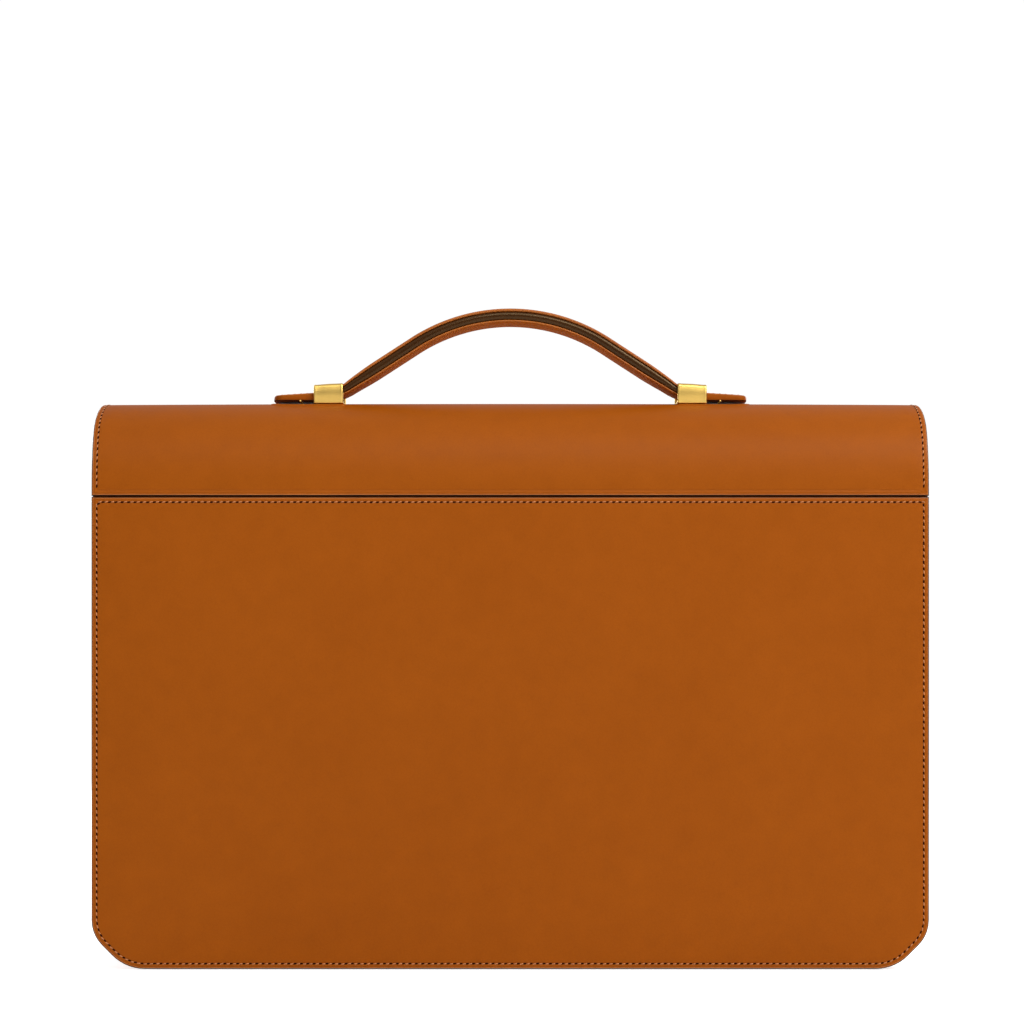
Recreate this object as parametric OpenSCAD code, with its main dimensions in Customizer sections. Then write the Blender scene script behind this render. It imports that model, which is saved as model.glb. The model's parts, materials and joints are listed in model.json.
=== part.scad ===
// Full-flap leather briefcase with a sliding top handle.
// The case stands on its lower seam edges. +X is across the width, +Y points out of the front
// (the side that the flap closes over), +Z is up. The origin is under the middle of the bounding box.

/* [Case] */
// Width of the case across its side seams
case_w = 400; // [350:5:450]
// Thickness of the closed case, from the back pocket's face to the flap's front face
case_d = 84; // [78:1:94]
// Height of the back pocket's mouth, where the flap begins
seam_z = 225.5; // [205:0.5:245]
// Leg of the 45 degree chamfer on the lower corners
corner_leg = 16.3; // [12:0.1:22]
// Radius that blends each end of the chamfer
corner_r = 17; // [14:0.5:19]

/* [Leather] */
// Thickness of the flap leather
flap_t = 2.1; // [1.8:0.1:2.4]
// Thickness of the back pocket leather
pocket_t = 1.8; // [1.5:0.1:2.2]
// Thickness of the front and back panel leather
panel_t = 2.0; // [1.6:0.1:2.4]
// Thickness of the gusset leather
gusset_t = 1.6; // [1.3:0.1:1.9]

/* [Flap] */
// Height of the rolled top above the pocket's mouth
roll_h = 47; // [44:0.5:52]
// Squareness of the roll: 2 is an ellipse, larger values are squarer
roll_power = 2.5; // [2.2:0.1:2.8]
// Height of the flap's lower edge on the front
flap_bottom_z = 88; // [70:1:110]
// How much each side edge of the flap draws in towards the ridge
edge_draw = 1.6; // [0:0.1:3]

/* [Handle] */
// Width of the handle strap
handle_w = 25; // [20:0.5:30]
// Radius of the handle's curved middle
handle_r = 86; // [80:1:95]
// Slope of the straight ends of the handle, in degrees
handle_slope = 34; // [30:1:36]
// Height of the handle's middle line at the centre
handle_top_z = 315.7; // [312:0.1:320]
// Thickness of the handle's cover strap
cover_t = 1.4; // [1:0.1:1.8]
// Thickness of the handle's padded core
core_t = 4.2; // [3:0.1:5]
// Thickness of the handle's lining strap
under_t = 0.8; // [0.6:0.1:1.2]
// Width of each brass loop along the handle
loop_l = 14.2; // [12:0.1:16]

/* [Lock] */
// Height of the turn lock's eyelet
lock_z = 120; // [115:1:130]
// Length of the turn knob
knob_l = 12; // [10:0.5:13]

/* [Hidden] */
$fn = 48;
// a small overlap that keeps a cut's faces clear of the faces it cuts
cut = 1;
// free gap between pieces that move past each other
run_gap = 0.5;

// colours
tan_leather = "#a4561a";
dark_leather = "#3d1c08";
suede = "#8a5a34";
board = "#6b5a46";
brass = "#d7ac46";
steel = "#9a9a96";

// half the case's width, and the knob's reach past the flap
half_w = case_w / 2;
plate_t = 0.9;
knob_t = 3;
knob_gap = 0.7;
lock_proud = plate_t + knob_gap + knob_t;
back_y = -(case_d + lock_proud) / 2;
mid_y = back_y + case_d / 2;

// layers from the back face inwards, as distances in front of the back face
back_panel_y = back_y + pocket_t;
back_in_y = back_panel_y + panel_t;
stiff_t = 1.2;
lining_t = 0.6;
back_lining_y = back_in_y + stiff_t;
rear_room_y = back_lining_y + lining_t;

// layers of the front, from the flap's face inwards
flap_lining_t = 0.8;
leaf_in_y = back_y + case_d - flap_t - flap_lining_t;
front_gap = 2.5;
front_out_y = leaf_in_y - front_gap;
front_in_y = front_out_y - panel_t;
front_stiff_t = 2.0;
front_stiff_y = front_in_y - front_stiff_t;
front_lining_y = front_stiff_y - lining_t;

// out-turned seams: the gusset wall stands this far inside the panels' edges
wall_inset = 5;
wall_in = wall_inset + gusset_t;
board_inset = wall_in + lining_t + 0.8;
// the lower gusset ends just above the corner chamfers, and the side ones start there
corner_top_z = corner_leg + corner_r * tan(22.5) + 0.7;
front_top_z = seam_z + 14;
base_top_z = wall_in + 2;
divider_t = 2;
divider_y = (rear_room_y + front_lining_y - divider_t) / 2;
divider_top_z = seam_z - 12;

// the flap's leather starts just above the pocket's edge
flap_start_z = seam_z + 0.5;
ridge_z = flap_start_z + roll_h - 0.5;

// handle fittings
patch_top_z = ridge_z + 1;
patch_l = 40;
patch_w = 32;
loop_base_t = 0.9;
loop_wall_t = 1.2;
loop_w = handle_w + 3.6;
loop_in_x = 81.4;
loop_mid_x = loop_in_x + loop_l / 2;
loop_h = 8.8;
loop_screw_y = 7;
stay_t = 1.2;
stay_w = 26;
stay_l = 236;
tail_end_x = loop_in_x + loop_l + 19.7;
tail_bottom_z = patch_top_z + 1.3;
// where each arm of the handle turns when the strap is pressed down
pivot_x = 77;
pivot_gap = 0.6;
handle_t = cover_t + core_t + under_t;
arc_end_x = handle_r * sin(handle_slope);
handle_centre_z = handle_top_z - handle_r;

// lock
slot_l = 21;
slot_w = 8;
eyelet_l = 33;
eyelet_w = 19;
knob_z = lock_z + 3;
knob_w = 5.5;
spindle_r = 2.3;
screw_span = 13.6;
base_plate_l = 30;
base_plate_w = 15;
rivet_span = 11;

// ---- outlines ----

// points of an arc from angle a to angle b, in n steps
function arc(cx, cy, r, a, b, n) =
    [for (i = [0 : n]) [cx + r * cos(a + (b - a) * i / n), cy + r * sin(a + (b - a) * i / n)]];

// the same points reflected left to right, in reverse order
function mirrored(p) = [for (i = [len(p) - 1 : -1 : 0]) [-p[i][0], p[i][1]]];

// the lower right corner, drawn in from the outline by an inset
function lower_corner(inset, bottom) =
    let (
        leg = corner_leg - inset * (2 - sqrt(2)),
        r = corner_r - inset,
        t = r * tan(22.5),
        w = half_w - inset,
        b = bottom + inset
    )
    concat(arc(w - leg - t, b + r, r, 270, 315, 5), arc(w - r, b + leg + t, r, 315, 360, 5));

// outline of a panel: straight top, chamfered lower corners
function panel_outline(inset, bottom, top) =
    let (p = concat(lower_corner(inset, bottom), [[half_w - inset, top]]))
    concat(p, mirrored(p));

// outline of the flap, whose side edges draw in towards the ridge
function flap_outline(inset) =
    let (
        start = ridge_z - 28,
        side = [for (i = [0 : 6]) [half_w - inset - edge_draw * pow(i / 6, 2), start + 30 * i / 6]],
        p = concat(lower_corner(inset, flap_bottom_z), side)
    )
    concat(p, mirrored(p));

// a point of the roll's section at angle a, drawn in from the outer face by an inset
function roll_point(inset, a) =
    let (
        c = cos(a),
        k = 2 / roll_power,
        y = (case_d / 2 - inset) * sign(c) * pow(abs(c), k),
        z = (roll_h - 0.5 - inset) * pow(sin(a), k)
    )
    [mid_y + y, flap_start_z + z];

// the roll's section from the back (180) over the top to the front (0)
function roll_line(inset, n) = [for (i = [0 : n]) roll_point(inset, 180 - 180 * i / n)];

// a closed band of leather: back edge, roll and front leaf
function flap_band(inset, t, bottom) =
    let (
        outer = concat(roll_line(inset, 48), [[back_y + case_d - inset, bottom]]),
        inner = concat(roll_line(inset + t, 48), [[back_y + case_d - inset - t, bottom]])
    )
    concat(outer, [for (i = [len(inner) - 1 : -1 : 0]) inner[i]]);

// a rounded rectangle centred on the origin
function rounded(w, h, r) =
    concat(
        arc(w / 2 - r, h / 2 - r, r, 0, 90, 5), arc(-w / 2 + r, h / 2 - r, r, 90, 180, 5),
        arc(-w / 2 + r, -h / 2 + r, r, 180, 270, 5), arc(w / 2 - r, -h / 2 + r, r, 270, 360, 5)
    );

// ---- placing ----

// draws an outline of X and Z as a sheet from y to y + t
module sheet_y(y, t) {
    translate([0, y + t, 0]) rotate([90, 0, 0]) linear_extrude(t) children();
}

// draws a section of Y and Z along X, from x to x + l
module run_x(x, l) {
    translate([x, 0, 0]) rotate([90, 0, 90]) linear_extrude(l) children();
}

// a box between two corners
module block(a, b) {
    translate(a) cube(b - a);
}

// a cylinder along Y from y to y + t
module pin_y(x, y, z, r, t) {
    translate([x, y, z]) rotate([-90, 0, 0]) cylinder(r = r, h = t);
}

// an upright plate with round ends, its face towards Y
module stadium_y(z, l, w, y, t) {
    pin_y(0, y, z + (l - w) / 2, w / 2, t);
    pin_y(0, y, z - (l - w) / 2, w / 2, t);
    block([-w / 2, y, z - (l - w) / 2], [w / 2, y + t, z + (l - w) / 2]);
}

// ---- case ----

module back_pocket_panel() {
    // inside the seam margin the leather is split thinner, which leaves the flat slip pocket
    seam = 6;
    pocket_gap = 0.6;
    color(tan_leather) difference() {
        sheet_y(back_y, pocket_t) polygon(panel_outline(0, 0, seam_z));
        sheet_y(back_y + pocket_t - pocket_gap, pocket_gap + cut)
            polygon(panel_outline(seam, 0, seam_z + cut));
    }
}

module back_panel() {
    color(tan_leather) sheet_y(back_panel_y, panel_t) polygon(panel_outline(0, 0, seam_z - 0.5));
}

module back_stiffener() {
    color(board) sheet_y(back_in_y, stiff_t) polygon(panel_outline(board_inset, 0, seam_z - 3));
}

module back_lining() {
    color(suede) sheet_y(back_lining_y, lining_t)
        polygon(panel_outline(board_inset, 0, seam_z - 0.5));
}

module front_panel() {
    color(tan_leather) difference() {
        sheet_y(front_in_y, panel_t) polygon(panel_outline(0, 0, front_top_z));
        pin_y(0, front_in_y - cut, knob_z, spindle_r + 0.3, panel_t + 2 * cut);
        lock_rivet_holes();
    }
}

module front_stiffener() {
    // a window leaves room for the lock's backing plate
    color(board) difference() {
        sheet_y(front_stiff_y, front_stiff_t) polygon(panel_outline(board_inset, 0, front_top_z - 3));
        stadium_y(knob_z, base_plate_l + 2, base_plate_w + 2, front_stiff_y - cut, front_stiff_t + 2 * cut);
    }
}

module front_lining() {
    color(suede) sheet_y(front_lining_y, lining_t)
        polygon(panel_outline(board_inset, 0, front_top_z - 0.5));
}

// the shape that trims the gussets' tops: low behind, where the flap turns, and level in front
module gusset_room() {
    run_x(-half_w - cut, case_w + 2 * cut) polygon([
        [back_y, corner_top_z], [back_y + case_d, corner_top_z],
        [back_y + case_d, front_top_z - 1], [back_in_y + 16, front_top_z - 1],
        [back_in_y, seam_z - 1], [back_y, seam_z - 1]
    ]);
}

// one side gusset: a wall with a flange turned out along each panel
module side_gusset(side) {
    low_x = side < 0 ? -half_w : half_w - wall_in;
    wall_x = side < 0 ? -half_w + wall_inset : half_w - wall_in;
    color(tan_leather) intersection() {
        union() {
            block([wall_x, back_in_y, 0], [wall_x + gusset_t, front_in_y, front_top_z]);
            block([low_x, back_in_y, 0], [low_x + wall_in, back_in_y + gusset_t, front_top_z]);
            block([low_x, front_in_y - gusset_t, 0], [low_x + wall_in, front_in_y, front_top_z]);
        }
        gusset_room();
    }
}

module side_gusset_lining(side) {
    lining_x = side < 0 ? -half_w + wall_in : half_w - wall_in - lining_t;
    color(suede) intersection() {
        block([lining_x, back_in_y, 0], [lining_x + lining_t, front_in_y, front_top_z - 0.5]);
        gusset_room();
    }
}

module left_gusset() {
    side_gusset(-1);
}

module right_gusset() {
    side_gusset(1);
}

module left_gusset_lining() {
    side_gusset_lining(-1);
}

module right_gusset_lining() {
    side_gusset_lining(1);
}

// a strip that follows the case's lower edge between two insets
module lower_strip(outer, inner, y, t) {
    lap = 0.2;
    sheet_y(y, t) difference() {
        polygon(panel_outline(outer, 0, corner_top_z - lap));
        polygon(panel_outline(inner, 0, corner_top_z + cut));
    }
}

module bottom_gusset() {
    color(tan_leather) union() {
        lower_strip(wall_inset, wall_in, back_in_y, front_in_y - back_in_y);
        lower_strip(0, wall_in, back_in_y, gusset_t);
        lower_strip(0, wall_in, front_in_y - gusset_t, gusset_t);
    }
}

module base_board() {
    half_l = half_w - corner_leg - corner_r * tan(22.5) - 3;
    color(board) block([-half_l, rear_room_y + 0.3, wall_in], [half_l, front_lining_y - 0.3, base_top_z]);
}

module base_lining() {
    half_l = half_w - corner_leg - corner_r * tan(22.5) - 2;
    color(suede)
        block([-half_l, rear_room_y + 0.2, base_top_z], [half_l, front_lining_y - 0.2, base_top_z + lining_t]);
}

module divider() {
    color(suede) sheet_y(divider_y, divider_t)
        polygon(panel_outline(board_inset + 1, base_top_z - wall_in, divider_top_z));
}

module divider_binding() {
    // a folded leather tape over the divider's upper edge
    fold = 0.7;
    drop = 8;
    half_l = half_w - board_inset - 2;
    color(tan_leather) difference() {
        block([-half_l, divider_y - fold, divider_top_z - drop],
            [half_l, divider_y + divider_t + fold, divider_top_z + fold]);
        block([-half_l - cut, divider_y, divider_top_z - drop - cut],
            [half_l + cut, divider_y + divider_t, divider_top_z]);
    }
}

// ---- lock on the front panel ----

module lock_rivet_holes() {
    for (side = [-1, 1])
        pin_y(0, front_in_y - front_stiff_t - cut, knob_z + side * rivet_span, 1.2, panel_t + front_stiff_t + 4);
}

module lock_base_plate() {
    color(brass) difference() {
        stadium_y(knob_z, base_plate_l, base_plate_w, front_out_y, plate_t);
        pin_y(0, front_out_y - cut, knob_z, spindle_r + 0.1, plate_t + 2 * cut);
        lock_rivet_holes();
    }
}

module lock_backing_plate() {
    color(steel) difference() {
        stadium_y(knob_z, base_plate_l, base_plate_w, front_in_y - 1, 1);
        pin_y(0, front_in_y - 1 - cut, knob_z, spindle_r + 0.1, 1 + 2 * cut);
        lock_rivet_holes();
    }
}

module lock_base_rivets() {
    head_t = 0.4;
    color(brass) for (side = [-1, 1]) {
        pin_y(0, front_in_y - 1, knob_z + side * rivet_span, 1.2, 1 + panel_t + plate_t);
        pin_y(0, front_out_y + plate_t, knob_z + side * rivet_span, 2.1, head_t);
        pin_y(0, front_in_y - 1 - head_t, knob_z + side * rivet_span, 2.1, head_t);
    }
}

// ---- turn knob ----

knob_y = back_y + case_d + plate_t + knob_gap;
washer_t = 0.5;

module lock_knob() {
    // an upright bar: lined up with the eyelet's slot it lets the flap lift off
    color(brass) stadium_y(knob_z, knob_l, knob_w, knob_y, knob_t);
}

module lock_spindle() {
    color(steel) pin_y(0, front_stiff_y + 0.3, knob_z, spindle_r, knob_y - front_stiff_y - 0.3);
}

module lock_washer() {
    color(steel) difference() {
        pin_y(0, front_in_y - 1.1 - washer_t, knob_z, 4, washer_t);
        pin_y(0, front_in_y - 1.1 - washer_t - cut, knob_z, spindle_r, washer_t + 2 * cut);
    }
}

// ---- flap ----

module slot_cut() {
    stadium_y(lock_z, slot_l, slot_w, leaf_in_y - 3, 9);
}

module screw_cuts() {
    for (side = [-1, 1])
        pin_y(0, leaf_in_y - 3, lock_z + side * screw_span, 1.1, 9);
    loop_screw_cuts();
}

// holes for the screws that hold the handle's loops
module loop_screw_cuts() {
    for (x = [-loop_mid_x, loop_mid_x])
        for (y = [-loop_screw_y, loop_screw_y])
            translate([x, mid_y + y, ridge_z - 12]) cylinder(r = 1.5, h = 14);
}

module flap_leather() {
    color(tan_leather) difference() {
        intersection() {
            run_x(-half_w, case_w) polygon(flap_band(0, flap_t, flap_bottom_z));
            sheet_y(back_y - cut, case_d + 2 * cut) polygon(flap_outline(0));
        }
        slot_cut();
        screw_cuts();
    }
}

module flap_lining() {
    color(suede) difference() {
        intersection() {
            run_x(-half_w, case_w) polygon(flap_band(flap_t, flap_lining_t, flap_bottom_z));
            sheet_y(back_y - cut, case_d + 2 * cut) polygon(flap_outline(0.8));
        }
        slot_cut();
        screw_cuts();
    }
}

module handle_stay() {
    // a metal strip bent to the roll, which carries the handle's load across the flap
    inset = flap_t + flap_lining_t;
    color(steel) difference() {
        intersection() {
            run_x(-stay_l / 2, stay_l) polygon(flap_band(inset, stay_t, ridge_z - 20));
            block([-stay_l / 2, mid_y - stay_w / 2, ridge_z - 12], [stay_l / 2, mid_y + stay_w / 2, ridge_z]);
        }
        loop_screw_cuts();
    }
}

module lock_eyelet_front() {
    color(brass) difference() {
        stadium_y(lock_z, eyelet_l, eyelet_w, back_y + case_d, plate_t);
        slot_cut();
        screw_cuts();
    }
}

module lock_eyelet_back() {
    back_t = 0.7;
    color(steel) difference() {
        stadium_y(lock_z, eyelet_l, eyelet_w, leaf_in_y - back_t, back_t);
        slot_cut();
        screw_cuts();
    }
}

module lock_eyelet_screws() {
    color(brass) for (side = [-1, 1]) {
        pin_y(0, leaf_in_y - 0.7, lock_z + side * screw_span, 1.1, case_d + back_y - leaf_in_y + 0.7 + plate_t);
        pin_y(0, back_y + case_d + plate_t, lock_z + side * screw_span, 1.8, 0.5);
    }
}

// ---- handle fittings on the flap ----

module handle_loop(side) {
    x = side < 0 ? -loop_in_x - loop_l : loop_in_x;
    centre_z = patch_top_z + loop_h / 2;
    opening_h = loop_h - loop_base_t - loop_wall_t;
    opening_z = patch_top_z + loop_base_t + opening_h / 2;
    color(brass) difference() {
        run_x(x, loop_l) translate([mid_y, centre_z]) polygon(rounded(loop_w, loop_h, 1.6));
        run_x(x - cut, loop_l + 2 * cut)
            translate([mid_y, opening_z]) polygon(rounded(loop_w - 2 * loop_wall_t, opening_h, 0.8));
        for (y = [-loop_screw_y, loop_screw_y])
            translate([side * loop_mid_x, mid_y + y, patch_top_z - cut])
                cylinder(r = 2.5, h = loop_base_t + cut + 0.1);
    }
}

module left_handle_loop() {
    handle_loop(-1);
}

module right_handle_loop() {
    handle_loop(1);
}

module base_patch(side) {
    // a leather seat, flat on top and moulded to the roll underneath
    x = side < 0 ? -loop_in_x + 2 - patch_l : loop_in_x - 2;
    color(tan_leather) difference() {
        block([x, mid_y - patch_w / 2, ridge_z - 6], [x + patch_l, mid_y + patch_w / 2, patch_top_z]);
        run_x(x - cut, patch_l + 2 * cut)
            polygon(concat(roll_line(0, 48), [[back_y + case_d, 0], [back_y, 0]]));
        loop_screw_cuts();
    }
}

module left_base_patch() {
    base_patch(-1);
}

module right_base_patch() {
    base_patch(1);
}

nut_top_z = ridge_z - flap_t - flap_lining_t - stay_t - 0.6;

module loop_screws() {
    color(steel) for (x = [-loop_mid_x, loop_mid_x])
        for (y = [-loop_screw_y, loop_screw_y])
            translate([x, mid_y + y, 0]) {
                translate([0, 0, patch_top_z]) cylinder(r = 2.5, h = loop_base_t);
                translate([0, 0, nut_top_z - 1.8]) cylinder(r = 1.5, h = patch_top_z - nut_top_z + 1.8);
            }
}

module loop_nuts() {
    color(steel) for (x = [-loop_mid_x, loop_mid_x])
        for (y = [-loop_screw_y, loop_screw_y])
            translate([x, mid_y + y, nut_top_z - 1.6]) difference() {
                cylinder(r = 3.2, h = 1.6, $fn = 6);
                translate([0, 0, -cut]) cylinder(r = 1.5, h = 1.6 + 2 * cut);
            }
}

// ---- handle ----

module handle_tail(side) {
    // thick at its inner end, thinning to a rounded tip past the loop
    end_r = 4;
    inner_x = pivot_x + pivot_gap;
    top_in = tail_bottom_z + 5.7;
    top_loop = tail_bottom_z + 3.9;
    top_end = tail_bottom_z + 2.1;
    side_view = [
        [inner_x, tail_bottom_z], [tail_end_x, tail_bottom_z],
        [tail_end_x, top_end], [loop_in_x + loop_l, top_loop], [inner_x, top_in]
    ];
    color(tan_leather) mirror([side < 0 ? 1 : 0, 0, 0]) intersection() {
        sheet_y(mid_y - handle_w / 2, handle_w) polygon(side_view);
        translate([(inner_x + tail_end_x) / 2, mid_y, tail_bottom_z - cut])
            linear_extrude(9) polygon(concat(
                arc((tail_end_x - inner_x) / 2 - end_r, handle_w / 2 - end_r, end_r, 0, 90, 6),
                [[-(tail_end_x - inner_x) / 2, handle_w / 2], [-(tail_end_x - inner_x) / 2, -handle_w / 2]],
                arc((tail_end_x - inner_x) / 2 - end_r, -handle_w / 2 + end_r, end_r, 270, 360, 6)
            ));
    }
}

module left_handle_tail() {
    handle_tail(-1);
}

module right_handle_tail() {
    handle_tail(1);
}

module stop_stud(side) {
    // a small stud under the tail that meets the loop if the handle is pulled too far up
    stud_t = 0.7;
    stud_x = loop_in_x + loop_l + 5.8;
    color(brass) translate([side * stud_x, mid_y, tail_bottom_z - stud_t]) cylinder(r = 1.5, h = stud_t);
}

module left_stop_stud() {
    stop_stud(-1);
}

module right_stop_stud() {
    stop_stud(1);
}

// the handle's middle line shifted outwards by d: a point at arc angle a
function handle_arc(d, n) =
    [for (i = [0 : n]) let (a = handle_slope * i / n)
        [(handle_r + d) * sin(a), handle_centre_z + (handle_r + d) * cos(a)]];

// the same line where its straight end crosses a given x
function handle_low(d, x) =
    let (p = [(handle_r + d) * sin(handle_slope), handle_centre_z + (handle_r + d) * cos(handle_slope)])
    [x, p[1] - (x - p[0]) * tan(handle_slope)];

// one layer of an arm of the handle, between two offsets from its middle line
module handle_layer(side, low, high, w) {
    // the arms' ends lean apart at the top, so they can turn down without meeting
    lean_top = 1.05;
    lean_bottom = 0.35;
    n = 10;
    upper = concat(handle_arc(high, n), [handle_low(high, pivot_x)]);
    lower = concat(handle_arc(low, n), [handle_low(low, pivot_x)]);
    band = concat(upper, [for (i = [len(lower) - 1 : -1 : 0]) lower[i]]);
    mirror([side < 0 ? 1 : 0, 0, 0]) difference() {
        sheet_y(mid_y - w / 2, w) polygon(band);
        sheet_y(mid_y - w / 2 - cut, w + 2 * cut) polygon([
            [-cut, handle_top_z - 6], [lean_bottom, handle_top_z - handle_t / 2],
            [lean_top, handle_top_z + handle_t / 2], [lean_top, handle_top_z + 6], [-cut, handle_top_z + 6]
        ]);
    }
}

module handle_cover(side) {
    color(tan_leather) handle_layer(side, handle_t / 2 - cover_t, handle_t / 2, handle_w);
}

module handle_core(side) {
    color(dark_leather) handle_layer(side, under_t - handle_t / 2, handle_t / 2 - cover_t, handle_w - 0.6);
}

module handle_lining(side) {
    color(tan_leather) handle_layer(side, -handle_t / 2, under_t - handle_t / 2, handle_w);
}

module left_handle_cover() {
    handle_cover(-1);
}

module left_handle_core() {
    handle_core(-1);
}

module left_handle_lining() {
    handle_lining(-1);
}

module right_handle_cover() {
    handle_cover(1);
}

module right_handle_core() {
    handle_core(1);
}

module right_handle_lining() {
    handle_lining(1);
}

back_pocket_panel();
back_panel();
back_stiffener();
back_lining();
front_panel();
front_stiffener();
front_lining();
left_gusset();
right_gusset();
bottom_gusset();
left_gusset_lining();
right_gusset_lining();
base_board();
base_lining();
divider();
divider_binding();
lock_base_plate();
lock_backing_plate();
lock_base_rivets();
lock_knob();
lock_spindle();
lock_washer();
flap_leather();
flap_lining();
handle_stay();
lock_eyelet_front();
lock_eyelet_back();
lock_eyelet_screws();
left_handle_loop();
right_handle_loop();
left_base_patch();
right_base_patch();
loop_screws();
loop_nuts();
left_handle_tail();
right_handle_tail();
left_stop_stud();
right_stop_stud();
left_handle_cover();
left_handle_core();
left_handle_lining();
right_handle_cover();
right_handle_core();
right_handle_lining();
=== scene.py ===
import bpy, bmesh, json, math
import numpy as np
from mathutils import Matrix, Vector

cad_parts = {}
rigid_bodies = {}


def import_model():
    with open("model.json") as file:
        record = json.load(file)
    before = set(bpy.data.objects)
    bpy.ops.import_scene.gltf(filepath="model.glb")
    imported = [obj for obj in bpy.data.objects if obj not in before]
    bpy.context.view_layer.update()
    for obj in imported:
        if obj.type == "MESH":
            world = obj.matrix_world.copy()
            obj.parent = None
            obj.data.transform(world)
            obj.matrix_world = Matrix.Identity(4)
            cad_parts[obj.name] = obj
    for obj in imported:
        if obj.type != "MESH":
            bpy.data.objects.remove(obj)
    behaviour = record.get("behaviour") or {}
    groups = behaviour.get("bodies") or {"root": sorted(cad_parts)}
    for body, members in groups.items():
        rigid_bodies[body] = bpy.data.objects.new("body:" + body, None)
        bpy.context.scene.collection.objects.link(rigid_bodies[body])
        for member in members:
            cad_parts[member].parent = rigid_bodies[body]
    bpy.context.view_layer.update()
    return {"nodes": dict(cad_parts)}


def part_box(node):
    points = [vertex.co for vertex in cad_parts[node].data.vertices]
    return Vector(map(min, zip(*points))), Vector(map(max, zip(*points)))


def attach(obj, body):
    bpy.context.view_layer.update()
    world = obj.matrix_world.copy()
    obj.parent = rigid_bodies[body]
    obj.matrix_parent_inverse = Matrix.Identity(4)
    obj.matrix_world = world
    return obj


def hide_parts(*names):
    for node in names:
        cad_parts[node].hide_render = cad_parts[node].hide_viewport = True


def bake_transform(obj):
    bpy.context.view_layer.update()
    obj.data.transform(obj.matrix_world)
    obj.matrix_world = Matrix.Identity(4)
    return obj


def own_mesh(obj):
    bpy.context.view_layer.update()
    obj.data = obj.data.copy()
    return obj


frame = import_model()
MM = 0.001
rng = np.random.default_rng(7)
scene = bpy.context.scene


def cad(node):
    """A CAD node's lowest and highest corner, in mm."""
    lo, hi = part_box(node)
    return [c / MM for c in lo], [c / MM for c in hi]


# ---- main sizes, in mm, from the frame ----
(P_LO, P_HI) = cad("back_pocket_panel")
(F_LO, F_HI) = cad("flap_leather")
(FP_LO, FP_HI) = cad("front_panel")
(BP_LO, BP_HI) = cad("back_panel")
W = P_HI[0]
BACK_Y, POCKET_TOP = P_LO[1], P_HI[2]
FRONT_Y, LEAF_Z, RIDGE_Z = F_HI[1], F_LO[2], F_HI[2]
MID_Y = (BACK_Y + FRONT_Y) / 2
FLAP_Z = POCKET_TOP + 0.5
FLAP_T, LINING_T = 2.1, 0.8
LEG, RAD, FOOT_RAD = 16.3, 17.0, 22.0
STITCH_IN = 2.6

# ---- camera ----
cam_data = bpy.data.cameras.new("camera")
cam = bpy.data.objects.new("camera", cam_data)
scene.collection.objects.link(cam)
cam.location = (0, BACK_Y * MM - 1.5, 0.140)
cam.rotation_euler = (math.radians(90), 0, 0)
cam_data.lens, cam_data.sensor_width = 110.45, 36
cam_data.shift_x, cam_data.shift_y = 0.0017, 0.160
cam_data.clip_end = 50
scene.camera = cam
scene.view_settings.view_transform = "Standard"


# ---- materials ----

def nodes_of(name):
    """A new material, its node tree and its shader."""
    m = bpy.data.materials.new(name)
    m.use_nodes = True
    t = m.node_tree
    return m, t, t.nodes["Principled BSDF"]


def add(t, kind, **kw):
    """A new node, with inputs and properties set by name."""
    n = t.nodes.new(kind)
    for k, v in kw.items():
        if k in n.inputs:
            n.inputs[k].default_value = v
        else:
            setattr(n, k, v)
    return n


def ramp(t, src, stops):
    """A colour ramp of (position, colour) stops on a value."""
    r = t.nodes.new("ShaderNodeValToRGB")
    r.color_ramp.elements[0].position, r.color_ramp.elements[0].color = stops[0][0], (*stops[0][1], 1)
    r.color_ramp.elements[1].position, r.color_ramp.elements[1].color = stops[-1][0], (*stops[-1][1], 1)
    for pos, col in stops[1:-1]:
        e = r.color_ramp.elements.new(pos)
        e.color = (*col, 1)
    t.links.new(src, r.inputs[0])
    return r.outputs[0]


def mix(t, a, b, fac, mode="MIX"):
    """Mixes two colours; each of a, b and fac is a socket or a constant."""
    n = t.nodes.new("ShaderNodeMix")
    n.data_type, n.blend_type = "RGBA", mode
    for i, v in ((0, fac), (6, a), (7, b)):
        if isinstance(v, (int, float)):
            n.inputs[i].default_value = v
        elif isinstance(v, tuple):
            n.inputs[i].default_value = (*v, 1)
        else:
            t.links.new(v, n.inputs[i])
    return n.outputs[2]


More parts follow.
